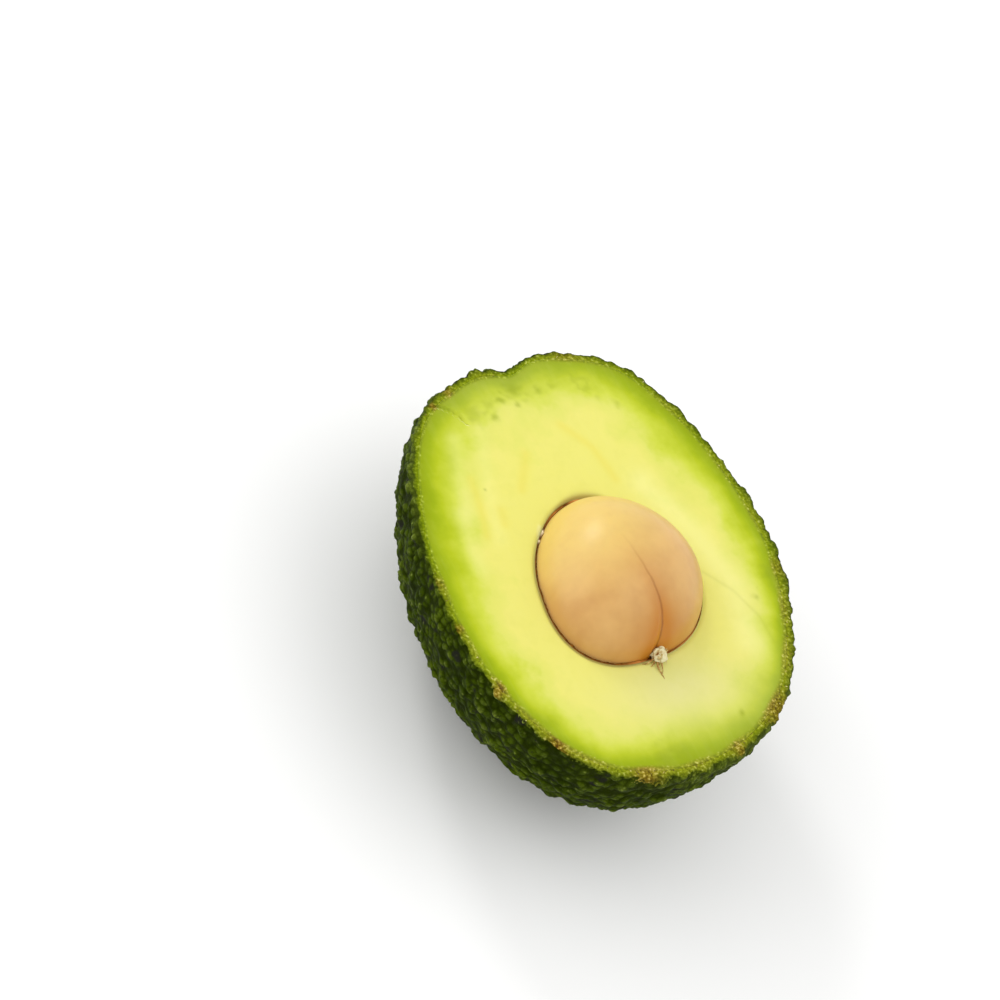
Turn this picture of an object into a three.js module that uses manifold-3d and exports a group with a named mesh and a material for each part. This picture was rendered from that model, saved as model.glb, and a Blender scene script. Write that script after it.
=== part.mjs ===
// Half an avocado, cut lengthways through the stem end, lying on its skin with the cut face up.
// Units are millimetres. +Z is up and square to the cut face, +Y points along the fruit to its
// stem end, and the origin is in the small flat spot that the half lies on.
//
// Nodes: skin (the pebbled rind), flesh (one body, with the seed's hollow), seed_coat (the thin
// brown lining left in the hollow), seed (the stone, with the seam between its two lobes) and
// seed_button (the frayed stub at the seed's tip).
import * as THREE from "three";
import { mergeVertices } from "three/addons/utils/BufferGeometryUtils.js";
import Module from "manifold-3d";

const degrees = THREE.MathUtils.degToRad;
const smoothstep = THREE.MathUtils.smoothstep;

// ---- Driving dimensions ----

const CUT_HEIGHT = 34.8; // from the flat spot up to the cut face

// The cut outline's radius every 15 degrees from the stem, clockwise as seen from above, in the
// valleys between the skin's pebbles.
const RIM_RADII = [
  45.1, 47, 47.4, 43.6, 39.7, 37.5, 36.6, 36.6, 36.9, 38.7, 41.1, 43.3,
  45.3, 46.8, 47, 44.3, 40.7, 38, 36.3, 36.2, 37.1, 39.6, 42.5, 43.9,
];
const DEPTH_SHARE = 0.962; // depth below the cut face, as a share of the half width
const SAG = new THREE.Vector3(-0.05, 0.07, 0); // towards where the underside bulges more
const DIMPLE = { depth: 2, spread: degrees(5.5) }; // the hollow at the stem end
const RIND = 1.2; // the skin's thickness in the valleys between its pebbles
const GAP = 0.3; // clearance between neighbouring pieces

const PEBBLE = {
  rings: 14, // edge divisions of the geodesic that spaces them, about 3 mm apart
  low: 0.25,
  high: 0.8, // lowest and highest pebble
  wander: 0.2, // how far one strays from its even place, as a share of the spacing
  flatFrom: 6,
  fullFrom: 14, // they fade towards the flat spot between these distances from its middle
};

// The seed is a lumpy ball. Its outline seen from above has these radii every 45 degrees from the
// stem end, clockwise: the lower left lobe is the fuller one.
const SEED = {
  centre: new THREE.Vector3(-0.3, -4.7, CUT_HEIGHT - 2.5),
  radii: [17.5, 17.6, 17.7, 17, 17, 19.5, 16.1, 15.5],
  high: 14, // above and below its middle
};

// The seam between the seed's two lobes bows gently along the fruit's middle plane, and is furthest
// right at x, y. It is deepest at the stub and fades out over the crown.
const SEAM = { x: 0.5, y: -18, bow: 0.02, width: 1.5, depth: 1, fadeFrom: -4, fullFrom: -20 };
const COAT = { thickness: 0.5, drop: 0.4, ragged: 0.5 }; // drop: its rim's depth below the cut face
const BUTTON = {
  centre: new THREE.Vector3(-0.1, -21.9, CUT_HEIGHT + 0.9),
  wide: 1.6,
  high: 1.5,
  tufts: 7, // round its frayed outline
  fray: 0.12, // their height, as a share of its width
};

// Edge divisions of the geodesics that the smooth forms are made on.
const FRUIT_RINGS = 10;
const SEED_RINGS = 12;
const HOLLOW_RINGS = 8;
const BUTTON_RINGS = 3;

const BEYOND_FRUIT = 60; // further from the middle than any piece reaches
const FULL_TURN = 2 * Math.PI;
const wasm = await Module();
wasm.setup();

// ---- Helpers ----

// A repeatable stream of numbers from 0 to 1.
function randomStream(start) {
  let state = start;
  return () => {
    state = (state * 1664525 + 1013904223) % 4294967296;
    return state / 4294967296;
  };
}

function geometryOf(points, triangles) {
  const geometry = new THREE.BufferGeometry();
  geometry.setFromPoints(points);
  geometry.setIndex(triangles.flat());
  return geometry;
}

// Merges shared corners, so that the surface is closed.
function merged(geometry) {
  const bare = geometry.clone();
  bare.deleteAttribute("normal");
  bare.deleteAttribute("uv");
  return mergeVertices(bare);
}

function solidOf(geometry) {
  const closed = merged(geometry);
  const mesh = new wasm.Mesh({
    numProp: 3,
    vertProperties: closed.attributes.position.array,
    triVerts: new Uint32Array(closed.index.array),
  });
  return new wasm.Manifold(mesh);
}

// Even unit directions over the whole sphere, and the triangles that join them.
function geodesic(rings) {
  const ball = merged(new THREE.IcosahedronGeometry(1, rings - 1));
  const corners = ball.attributes.position;
  const directions = Array.from({ length: corners.count }, (_, i) =>
    new THREE.Vector3().fromBufferAttribute(corners, i).normalize(),
  );
  const flat = Array.from(ball.index.array);
  const triangles = [];
  for (let i = 0; i < flat.length; i += 3) triangles.push(flat.slice(i, i + 3));
  return { directions, triangles };
}

// A solid with one corner for each direction, where place(direction) puts it.
function solidFrom(rings, place) {
  const { directions, triangles } = geodesic(rings);
  return solidOf(geometryOf(directions.map(place), triangles));
}

// Radius at an angle of a smooth closed outline that passes through evenly spread radii.
function outlineRadius(radii, angle) {
  const count = radii.length;
  const place = (((angle / FULL_TURN) % 1) + 1) * count;
  const i = Math.floor(place);
  const t = place - i;
  const [a, b, c, d] = [-1, 0, 1, 2].map((step) => radii[(i + step + count) % count]);
  return b + 0.5 * t * (c - a + t * (2 * a - 5 * b + 4 * c - d + t * (3 * (b - c) + d - a)));
}

// ---- The fruit's outer form ----

// A point in a given direction from the middle of the cut face, rise above the smooth fruit.
// The fruit is round about its length, and its profile swings from one flank's to the other's.
function fruitPoint(direction, rise) {
  const fromStem = Math.acos(THREE.MathUtils.clamp(direction.y, -1, 1));
  const across = Math.hypot(direction.x, direction.z) || 1;
  const right = outlineRadius(RIM_RADII, fromStem);
  const left = outlineRadius(RIM_RADII, -fromStem);
  const round = (right + left) / 2 + ((right - left) / 2) * (direction.x / across);
  const dimple = DIMPLE.depth * Math.exp(-((fromStem / DIMPLE.spread) ** 2));
  const depthShare = DEPTH_SHARE + SAG.dot(direction);
  const radius = (round - dimple) * THREE.MathUtils.lerp(1, depthShare, direction.z ** 2);
  const point = direction.clone().multiplyScalar(radius + rise);
  point.z += CUT_HEIGHT;
  return point;
}

function smoothFruit(inset) {
  return solidFrom(FRUIT_RINGS, (direction) => fruitPoint(direction, -inset));
}

// The whole fruit, with a pebble raised at each point of the geodesic and a valley point between
// each three pebbles.
function pebbledFruit() {
  const random = randomStream(7);
  const { directions, triangles } = geodesic(PEBBLE.rings);
  const stray = () => ((random() - 0.5) * 2 * PEBBLE.wander) / PEBBLE.rings;
  const middles = directions.map((direction) =>
    direction.clone().add(new THREE.Vector3(stray(), stray(), stray())).normalize(),
  );
  const tops = middles.map((middle) => {
    const foot = fruitPoint(middle, 0);
    const share = smoothstep(foot.length(), PEBBLE.flatFrom, PEBBLE.fullFrom);
    return fruitPoint(middle, share * THREE.MathUtils.lerp(PEBBLE.low, PEBBLE.high, random()));
  });
  const valleys = triangles.map((corners) => {
    const between = new THREE.Vector3();
    corners.forEach((corner) => between.add(middles[corner]));
    return fruitPoint(between.normalize(), 0);
  });

  // The line between two neighbouring pebbles has a valley point on either side. Each line is met
  // once each way, and gives the face on one pebble's flank each time.
  const valleyLeftOf = new Map();
  triangles.forEach((corners, t) => {
    corners.forEach((from, k) => valleyLeftOf.set(`${from} ${corners[(k + 1) % 3]}`, tops.length + t));
  });
  const faces = [];
  for (const [line, left] of valleyLeftOf) {
    const [from, to] = line.split(" ").map(Number);
    faces.push([from, valleyLeftOf.get(`${to} ${from}`), left]);
  }
  return solidOf(geometryOf([...tops, ...valleys], faces));
}

// ---- The seed and what lies round it ----

// A point in a given direction from the seed's middle, rise above its surface.
function seedPoint(direction, rise) {
  const wide = outlineRadius(SEED.radii, Math.atan2(direction.x, direction.y)) + rise;
  return new THREE.Vector3(wide, wide, SEED.high + rise).multiply(direction).add(SEED.centre);
}

function seedBody(rings, rise) {
  return solidFrom(rings, (direction) => seedPoint(direction, rise));
}

function seamedSeed() {
  return solidFrom(SEED_RINGS, (direction) => {
    const point = seedPoint(direction, 0);
    const line = SEAM.x - SEAM.bow * (point.y - SEAM.y) ** 2;
    const aside = (point.x - line) / SEAM.width;
    const along = 1 - smoothstep(point.y, SEAM.fullFrom, SEAM.fadeFrom);
    const above = smoothstep(point.z, SEED.centre.z, CUT_HEIGHT);
    return seedPoint(direction, -SEAM.depth * along * above * Math.exp(-aside * aside));
  });
}

// The lining is a thin bowl, cut off along a slightly ragged rim just below the cut face.
function coatSolid() {
  const reach = 2 * Math.max(...SEED.radii);
  const sides = 60;
  const block = new THREE.CylinderGeometry(reach, reach, CUT_HEIGHT, sides).rotateX(Math.PI / 2);
  const corners = block.attributes.position;
  for (let i = 0; i < corners.count; i += 1) {
    const angle = Math.atan2(corners.getY(i), corners.getX(i));
    const onTopRim = Math.hypot(corners.getX(i), corners.getY(i)) > reach / 2 && corners.getZ(i) > 0;
    const rise = onTopRim ? COAT.ragged * Math.sin(5 * angle) * Math.sin(3 * angle + 1) : 0;
    corners.setZ(i, corners.getZ(i) + rise);
  }
  block.translate(SEED.centre.x, SEED.centre.y, CUT_HEIGHT / 2 - COAT.drop);
  const bowl = seedBody(HOLLOW_RINGS, GAP + COAT.thickness).subtract(seedBody(HOLLOW_RINGS, GAP));
  return bowl.intersect(solidOf(block));
}

// The stub is a small lump with a frayed outline.
function buttonSolid(rise) {
  return solidFrom(BUTTON_RINGS, (direction) => {
    const tuft = Math.sin(BUTTON.tufts * Math.atan2(direction.y, direction.x)) * (1 - direction.z ** 2);
    const wide = BUTTON.wide * (1 + BUTTON.fray * tuft) + rise;
    return new THREE.Vector3(wide, wide, BUTTON.high + rise).multiply(direction).add(BUTTON.centre);
  });
}

// ---- Assembly ----

function piece(name, solid, color, roughness) {
  const { vertProperties, triVerts } = solid.getMesh();
  const geometry = new THREE.BufferGeometry();
  geometry.setAttribute("position", new THREE.BufferAttribute(vertProperties, 3));
  geometry.setIndex(new THREE.BufferAttribute(triVerts, 1));
  geometry.computeVertexNormals();
  const material = new THREE.MeshStandardMaterial({ color, roughness, metalness: 0 });
  const mesh = new THREE.Mesh(geometry, material);
  mesh.name = name;
  return mesh;
}

const width = 2 * BEYOND_FRUIT;
const slab = solidOf(new THREE.BoxGeometry(width, width, CUT_HEIGHT).translate(0, 0, CUT_HEIGHT / 2));
const pulp = smoothFruit(RIND + GAP).intersect(slab);
const hollow = seedBody(HOLLOW_RINGS, COAT.thickness + 2 * GAP);
const pocket = buttonSolid(GAP);

const avocado = new THREE.Group();
avocado.add(
  piece("skin", pebbledFruit().subtract(smoothFruit(RIND)).intersect(slab), 0x24381a, 0.45),
  piece("flesh", pulp.subtract(hollow).subtract(pocket), 0xe8e67c, 0.5),
  piece("seed_coat", coatSolid().subtract(pocket), 0x6b3a14, 0.6),
  piece("seed", seamedSeed().subtract(pocket), 0xd9ab6e, 0.45),
  piece("seed_button", buttonSolid(0), 0xd8c9a0, 0.8),
);

export default avocado;
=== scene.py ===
import math
from functools import partial

import bpy
import numpy as np
from mathutils import Matrix, Vector, kdtree, noise


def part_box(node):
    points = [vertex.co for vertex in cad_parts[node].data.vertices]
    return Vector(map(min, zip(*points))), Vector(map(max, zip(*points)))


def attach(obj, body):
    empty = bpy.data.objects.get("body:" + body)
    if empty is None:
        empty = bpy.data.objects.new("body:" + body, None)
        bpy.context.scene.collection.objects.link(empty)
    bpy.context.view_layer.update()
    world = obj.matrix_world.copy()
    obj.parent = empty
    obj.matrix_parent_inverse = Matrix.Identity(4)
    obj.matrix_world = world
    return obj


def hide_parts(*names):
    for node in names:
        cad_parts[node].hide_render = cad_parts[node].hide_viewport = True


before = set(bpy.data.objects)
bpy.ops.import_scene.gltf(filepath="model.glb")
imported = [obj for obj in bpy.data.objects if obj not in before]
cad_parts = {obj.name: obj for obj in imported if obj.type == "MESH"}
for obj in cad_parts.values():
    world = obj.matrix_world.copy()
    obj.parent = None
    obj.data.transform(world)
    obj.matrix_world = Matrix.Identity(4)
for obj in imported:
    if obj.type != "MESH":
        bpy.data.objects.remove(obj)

MM = 0.001
FULL_TURN = 2 * math.pi
DOWN = np.array([[0, 0, -1]])
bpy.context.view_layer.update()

# ---- Driving dimensions ----

CUT_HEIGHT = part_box("skin")[1].z / MM
MIDDLE = np.array([0, 0, CUT_HEIGHT])  # the middle of the cut face

# The solids' own form: the cut outline's radius every 15 degrees, in the valleys between pebbles.
RIM_RADII = [
    45.1, 47, 47.4, 43.6, 39.7, 37.5, 36.6, 36.6, 36.9, 38.7, 41.1, 43.3,
    45.3, 46.8, 47, 44.3, 40.7, 38, 36.3, 36.2, 37.1, 39.6, 42.5, 43.9,
]
DEPTH_SHARE = 0.962  # its depth below the cut, as a share of its radius there
SAG = np.array([-0.05, 0.07, 0])  # how much that grows across and along the fruit
DIMPLE_DEPTH, DIMPLE_SPREAD = 2, math.radians(5.5)  # where the stem was
RIND = 1.2  # the skin's thickness at the bottom, in the valleys
RIND_AT_CUT = [  # and at the cut, every 15 degrees
    1.2, 1.2, 1.2, 1.3, 1.2, 1.3, 1.3, 1.6, 1.3, 1.3, 1.3, 1.5,
    1.6, 1.5, 1.2, 1.2, 1.0, 1.1, 1.2, 1.2, 1.2, 1.1, 1.1, 1.3,
]
FLESH_GAP = 0.03  # between skin and flesh
# The skin's outer edge is drawn in by this much, every 30 degrees, over a height below the cut.
ROUNDED_IN = [0.3, 0.1, 0.1, 0.1, 0, 0.1, 0.6, 0.1, 0.2, 0.3, 0.5, 0.3]
ROUNDED_HIGH = 1.0
PEBBLES = {
    "Pebble width": 1.7,
    "Pebble height": 0.55,
    "Lump width": 4.6,
    "Lump height": 0.7,
    "Flat from": 6,
    "Full from": 14,  # pebbles fade towards the flat spot between these distances from its middle
}
WANDER = 0.7  # how far a pebble's outline strays, as a share of its width
RIBBON = (0.15, 1.1)  # the shreds' place across the cut edge, from its outer side to the flesh
RIM_CHIPS = {"Chips per area": 0.9 / MM**2, "Chip size": Vector((0.3, 0.13, 0.1)) * MM, "Seed": 5}

SEED_MIDDLE = np.array([-0.3, -4.7, CUT_HEIGHT - 2.5])
SEED_RADII = [17.5, 17.6, 17.7, 17, 17, 19.5, 16.1, 15.5]  # every 45 degrees
SEED_HIGH = 14
SEAM = [  # places on the seam between the seed's two lobes, from the tip to the crown
    (0, -20.3), (0.27, -19.3), (0.53, -18.2), (0.38, -16.8), (-0.13, -14.6), (-0.98, -11.2),
    (-2.03, -7.6), (-2.49, -4.1), (-3, -1), (-3.9, 3),
]
SEAM_WIDTH = (0.9, 2.2)  # of the dip on the seam's left and right
SEAM_DEPTH = 0.6
SEAM_FADES = (-20, 4)  # full depth at the tip, gone over the crown
TIP_GLOW = 8  # how far the darker tip reaches
CROWN_AND_LIGHT_FACES = np.array([-0.35, 0.75, 0.56])  # where the yellower crown points, towards the light: partly its own colour, partly painted light
HOLLOW = [0.58, 0.38, 0.3, 0.22, 0.45, 0.75, 0.6, 0.46]  # from seed to flesh, every 45 degrees
COAT_INSIDE, COAT_OUTSIDE = 0.15, 0.93  # the coat's two faces, as shares of that
COAT_BRIM = -0.25  # the coat's edge from the cut face, before it is torn
WIDE_STAIN_AND_SHADOW = (8, 16, 0.9)  # angle, spread, reach: where the coat's stain and the painted shadow at the hollow's edge darken the flesh widest
BUTTON_MIDDLE = np.array([-0.1, -21.9, CUT_HEIGHT + 0.9])
BUTTON_WIDE, BUTTON_HIGH = 1.5, 1.4
BUTTON_CHIPS = {"Chips per area": 1.6 / MM**2, "Chip size": Vector((0.75, 0.25, 0.05)) * MM, "Seed": 8}

# What grew or was cut in the flesh, as places on the cut face.
GREEN_BAND = [  # its width every 15 degrees
    7.5, 7.6, 8.2, 8.8, 7.8, 6.5, 5.1, 5.2, 4.6, 5, 5.3, 8.2,
    10.5, 6.8, 6.2, 5.8, 5.6, 6.2, 7, 7.4, 7.6, 8, 8.2, 7.9,
]
VEIN_DOTS = [  # across, along, size, and how strong
    (-1.1, 38.7, 1.5, 0.6), (4.3, 37.8, 0.8, 0.5), (-7.4, 36.2, 1.0, 0.3), (-4.5, 36.7, 0.8, 0.6),
    (-11.6, 34.8, 1.8, 0.4), (-1.5, 35.3, 0.6, 0.5), (-7.6, 33.3, 0.7, 0.5), (19.5, 32.5, 0.7, 0.3),
    (11.1, -36, 0.6, 0.6), (-9, -41.5, 1.6, 0.4), (26.9, -13.4, 0.6, 0.4), (-17.2, 18.3, 0.3, 0.5),
    (0.7, -41.7, 0.4, 0.4), (-5.6, -40.9, 1.6, 0.25), (32.8, -9.2, 1.5, 0.5), (32, -12.3, 0.8, 0.4),
    (1.5, 37.2, 0.7, 0.25), (0.6, 36, 0.6, 0.2), (7.6, 38.2, 0.7, 0.25), (16, 34.4, 0.6, 0.2),
]
VEIN_RING = (14.2, 38, 1.3)  # a cut vein with a pale middle
KNIFE_NICK = [(-19, 37.6), (-17.3, 37), (-15.8, 35.9), (-14.6, 34.4), (-13.9, 32.7)]
FINE_CREASE = [(18.5, -6.3), (22.7, -11.3), (25.2, -17.2), (25.6, -23)]
GOLDEN_STREAKS = [  # soft deeper yellow lines along the fruit
    [(5.2, 29.5), (9.3, 23.7), (10.6, 16.2)], [(-5.2, 24.5), (-9.8, 17)],
    [(-19, 21), (-19.8, 15.3), (-21.5, 8.7)], [(-16.2, 13.5), (-16.8, 10.5)],
]
PALE_STREAKS = [  # soft lighter ones: where, how wide, how strong
    ([(-18.1, 29.7), (-21.5, 20), (-23.3, 12.5)], 1.8, 0.22),
    ([(-12, 31), (-16.5, 18), (-19.3, 7.4)], 1.6, 0.18),
    ([(-24.5, 14), (-26.2, 2)], 1.6, 0.2),
    ([(-10, 8.8), (-10.9, 7.4), (-11.6, 5.4)], 0.45, 0.8),
    ([(16, 14), (21, 2), (23.5, -10), (20.5, -22)], 3.4, 0.42),
]
CREAM = [  # paler, milky flesh: across, along, half its width and height, how strong
    (1, -29, 14, 7, 1), (-2, 39, 17, 7, 0.12),
]
STRANDS = [  # frayed fibres at the seed's tip: points from the cut face up, thickness at the root
    ([(-0.9, -22.8, 0.7), (-1.3, -23.7, 0.45), (-1.1, -24.9, 0.2), (-0.9, -26.4, 0.03)], 0.22),
    ([(-0.2, -23.2, 0.6), (-0.4, -24.1, 0.4), (-0.6, -24.9, 0.2), (-1.1, -25.5, 0.05)], 0.15),
    ([(-1.3, -22.2, 0.7), (-2.3, -22.6, 0.6), (-3.1, -22.8, 0.2), (-3.8, -22.5, -0.1)], 0.2),
    ([(-1.2, -22.6, 0.5), (-2, -23.3, 0.4), (-2.5, -23.5, 0.12)], 0.15),
]
COAT_FLAPS = {  # angle, spread, rise of the coat's edge, where pale and orange bits of it stand up
    "pale": [(321, 2.5, 0.55), (313, 1.5, 0.45)],
    "orange": [(1, 5, 0.5), (150, 22, 0.08), (193, 7, 0.2), (340, 8, 0.12)],
}
TORN_EDGE = [  # angle, spread, how torn: where the knife frayed the skin
    (18, 10, 0.5), (45, 6, 0.35), (66, 8, 0.3), (84, 8, 0.4), (104, 5, 0.5), (118, 9, 0.8),
    (135, 9, 0.9), (153, 9, 1), (171, 7, 0.8), (184, 7, 0.8), (196, 7, 1), (212, 8, 0.8),
    (227, 7, 0.7), (237, 4, 1), (250, 6, 0.5), (268, 6, 0.4), (300, 6, 0.1), (326, 8, 0.2),
    (340, 6, 0.4), (352, 5, 0.4),
]
TOASTED_EDGE = [  # and where it has dried brown
    (17, 3, 0.3), (103, 3, 0.25), (153, 5, 0.7), (171, 1.5, 0.7), (198, 3, 0.8), (219, 2.5, 1),
    (237, 1.4, 0.9), (256, 1.5, 0.7), (271, 2, 0.4), (333, 1, 0.9), (340, 1.3, 0.7),
]
OLIVE_AND_LIT_SIDES = [  # angle, spread, amount, reach: where the skin below the cut is a lighter olive, partly its own colour and partly painted light
    (150, 45, 0.4, 9), (60, 40, 0.3, 1.4), (320, 40, 0.35, 1.4),
]
CLOT = (196, 8, 3)  # angle, spread, reach: where torn flesh hangs down over the skin

# How finely the pieces are divided.
SKIN_GRID, SEED_GRID, BUTTON_GRID = 164, 88, 28  # squares on a side of the ball's grid
SKIN_ROWS = 10  # down the inside
FLESH_ROUND, FLESH_WALL, FLESH_FACE, FLESH_WELL = 512, 17, 104, 22  # round, and rows on each part
COAT_ROUND, COAT_ROWS = 480, 26  # round, and rows on each of its two faces
SHRED_ROUND = 360
STRAND_ROUND, STRAND_STEPS = 8, 14
OUT_OF_REACH = 20.0  # farther than any mark on the flesh spreads

# The camera looks at the cut face from its lower left, and leans so that +Z points up and right.
VIEW_AZIMUTH, VIEW_ELEVATION, VIEW_LEAN = math.radians(-51.5), math.radians(46), math.radians(57)
VIEW_DISTANCE = 700
PICTURE = 1000  # pixels each way
PIXELS_PER_MM = 5.54  # at the middle of the cut face
MIDDLE_PIXEL = (605.8, 558.3)  # where it falls in the picture
SENSOR = 36
FLOOR_HALF = 3000
LAMP_DISTANCE = 1500
LAMPS = [  # how far to the right, up and towards the camera, then size and power
    ("key", (-0.75, 0.7, 0.5), 1300, 6), ("fill", (0.8, 0.3, 0.5), 1300, 3),
    ("glint", (-0.2, 1, 0.05), 300, 4),
]
WORLD_GLOW = 0.92


# ---- Helpers ----

def linear(hex_colour):
    """An sRGB hex colour as linear RGBA."""
    parts = [int(hex_colour[i:i + 2], 16) / 255 for i in (1, 3, 5)]
    return [c / 12.92 if c <= 0.04045 else ((c + 0.055) / 1.055) ** 2.4 for c in parts] + [1]


def in_use(sockets, key):
    """The socket with this number, or the one in use with this name."""
    if isinstance(key, int):
        return sockets[key]
    return next(socket for socket in sockets if socket.enabled and socket.name == key)


def add_node(tree, kind, inputs=(), stops=(), **settings):
    """Adds a node; "ShaderNode" may be left off its kind. Each input, by name or in order, gets
    a value, an sRGB hex colour, or a link from a socket or from a node's output. A ramp's stops
    are (place, shade)."""
    made = tree.nodes.new(kind if "Node" in kind else "ShaderNode" + kind)
    for name, value in settings.items():
        setattr(made, name, value)
    for key, value in inputs.items() if isinstance(inputs, dict) else enumerate(inputs):
        socket = in_use(made.inputs, key)
        if isinstance(value, bpy.types.Node):
            value = next(output for output in value.outputs if output.enabled)
        if isinstance(value, bpy.types.NodeSocket):
            tree.links.new(value, socket)
        else:
            is_hex = isinstance(value, str) and value.startswith("#")
            socket.default_value = linear(value) if is_hex else value
    for i, (place, shade) in enumerate(stops):
        ramp = made.color_ramp.elements
        stop = ramp[i] if i < 2 else ramp.new(place)
        stop.position = place
        stop.color = linear(shade) if isinstance(shade, str) else (shade, shade, shade, 1)
    return made


def smoothstep(value, low, high):
    """0 below `low`, 1 above `high`, and an eased slope between them."""
    share = np.clip((value - low) / (high - low), 0, 1)
    return share * share * (3 - 2 * share)


def fade(distance, reach):
    """1 at no distance, a third at `reach`, and soon nothing."""
    return np.exp(-((distance / reach) ** 2))


def lumps(points, size, start=0):
    """Smooth noise from about -1 to 1 with lumps of this size, the same in each run."""
    return np.array([noise.noise(Vector(p)) for p in points / size + (start, -start, 0.5)])


def outline(values, angles):
    """A smooth closed curve through evenly spread values, read at each angle."""
    place = np.mod(angles / FULL_TURN, 1) * len(values)
    start = np.floor(place).astype(int)
    t = place - start
    a, b, c, d = (np.take(values, start + step, mode="wrap") for step in (-1, 0, 1, 2))
    return b + 0.5 * t * (c - a + t * (2 * a - 5 * b + 4 * c - d + t * (3 * (b - c) + d - a)))


def from_line(points, line):
    """Distance on the cut face from each point to a broken line, less than 0 on its right."""
    nearest = np.full(len(points), np.inf)
    for start, end in zip(np.array(line[:-1]), np.array(line[1:])):
        along = end - start
        reach = np.clip((points[:, :2] - start) @ along / (along @ along), 0, 1)
        gap = np.linalg.norm(points[:, :2] - start - reach[:, None] * along, axis=1)
        nearest = np.minimum(nearest, gap)
    start, end = np.array(line[0]), np.array(line[-1])
    side = (end - start)[0] * (points[:, 1] - start[1]) - (end - start)[1] * (points[:, 0] - start[0])
    return np.copysign(nearest, side)


def bearing(points):
    """The angle of each point or direction, clockwise from +Y."""
    return np.arctan2(points[:, 0], points[:, 1])


def share_at(marks, angles):
    """How much of a mark there is at each angle, from 0 to 1, from its (angle, spread, amount)."""
    turn = np.degrees(angles)
    return np.max([
        amount * fade((turn - middle + 180) % 360 - 180, spread) for middle, spread, amount in marks
    ], axis=0)


def from_loop(points, loop):
    """Distance from each point to the nearest of a close ring of points."""
    tree = kdtree.KDTree(len(loop))
    for i, corner in enumerate(loop):
        tree.insert(corner, i)
    tree.balance()
    return np.array([tree.find(point)[2] for point in points])


def once_round(count):
    """Even angles, once round."""
    return np.linspace(0, FULL_TURN, count, endpoint=False)


def heading(angles, dip=0):
    """Unit directions at these angles, tipped below the level by `dip`."""
    level = np.cos(dip)
    parts = [np.sin(angles) * level, np.cos(angles) * level, -np.sin(dip)]
    return np.stack(np.broadcast_arrays(*parts), axis=-1)


def fruit(directions, rise):
    """Points in these directions from the middle of the cut face, `rise` above the fruit."""
    x, y, z = directions.T
    from_stem = np.arccos(np.clip(y, -1, 1))
    across = np.maximum(np.hypot(x, z), 1e-9)
    right, left = outline(RIM_RADII, from_stem), outline(RIM_RADII, -from_stem)
    around = (right + left) / 2 + (right - left) / 2 * x / across
    dimple = DIMPLE_DEPTH * fade(from_stem, DIMPLE_SPREAD)
    depth_share = DEPTH_SHARE + directions @ SAG
    radius = (around - dimple) * (1 + (depth_share - 1) * z**2)
    return directions * (radius + rise)[:, None] + MIDDLE


def seed(directions, rise):
    """Points in these directions from the seed's middle, `rise` above its surface."""
    wide = outline(SEED_RADII, bearing(directions)) + rise
    high = np.broadcast_to(SEED_HIGH + rise, wide.shape)
    return directions * np.stack([wide, wide, high], axis=-1) + SEED_MIDDLE


def ball_grid(count, lower_half=False):
    """Even directions over a ball and the quads that join them, with no poles: the grid of a
    cube's faces, `count` squares a side. The lower half stops at the level of the middle."""
    up = np.array([0, 0, 1])
    sides = [np.array(side) for side in ([1, 0, 0], [0, 1, 0], [-1, 0, 0], [0, -1, 0])]
    faces = [(side, np.cross(up, side), up) for side in sides]
    faces.append((-up, sides[1], sides[0]))
    if not lower_half:
        faces.append((up, sides[0], sides[1]))
    steps = np.tan(np.linspace(-1, 1, count + 1) * math.pi / 4)
    directions, quads, used = [], [], 0
    for outward, across, along in faces:
        rows = steps[: count // 2 + 1] if lower_half and along is up else steps
        v, u = np.meshgrid(rows, steps, indexing="ij")
        points = outward + u[..., None] * across + v[..., None] * along
        directions.append((points / np.linalg.norm(points, axis=-1, keepdims=True)).reshape(-1, 3))
        corner = used + np.arange(v.size).reshape(v.shape)
        square = [corner[:-1, :-1], corner[:-1, 1:], corner[1:, 1:], corner[1:, :-1]]
        quads.append(np.stack(square, axis=-1).reshape(-1, 4))
        used += v.size
    return welded(np.concatenate(directions), np.concatenate(quads))


def loft(rows, first=None, last=None):
    """Quads between rows of points that run clockwise, and a fan to a point at either end."""
    count = len(rows[0])
    corner = np.arange(len(rows) * count).reshape(len(rows), count)
    after = np.roll(corner, -1, axis=1)
    quads = np.stack([corner[:-1], corner[1:], after[1:], after[:-1]], axis=-1).reshape(-1, 4)
    points = [np.concatenate(rows)]
    fans = []
    for pole, row, turned in ((first, 0, False), (last, -1, True)):
        if pole is None:
            continue
        tip = np.full(count, sum(map(len, points)))
        points.append(np.array([pole]))
        here, there = corner[row], after[row]
        fans.append(np.stack([here, tip, there, there] if turned else [tip, here, there, there], -1))
    return np.concatenate(points), np.concatenate([quads, *fans])


def welded(points, quads, *values):
    """The same surface, and any values at its points, with the shared corners merged."""
    keys = np.round(points * 1e5).astype(np.int64)
    _, kept, place = np.unique(keys, axis=0, return_index=True, return_inverse=True)
    return points[kept], place.reshape(-1)[quads], *(value[kept] for value in values)


def placed(name, data):
    """A new object, in the scene."""
    made = bpy.data.objects.new(name, data)
    bpy.context.scene.collection.objects.link(made)
    return made


def piece(name, points, quads, material=None, **attributes):
    """A smooth mesh object from points in millimetres, with a value at each point by name."""
    mesh = bpy.data.meshes.new(name)
    faces = [tuple(dict.fromkeys(quad)) for quad in quads.tolist()]
    mesh.from_pydata((points * MM).tolist(), [], faces)
    for label, values in attributes.items():
        layer = mesh.attributes.new(label, "FLOAT", "POINT")
        layer.data.foreach_set("value", values.astype(np.float32))
    mesh.shade_smooth()
    if material:
        mesh.materials.append(material)
    return placed(name, mesh)


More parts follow.
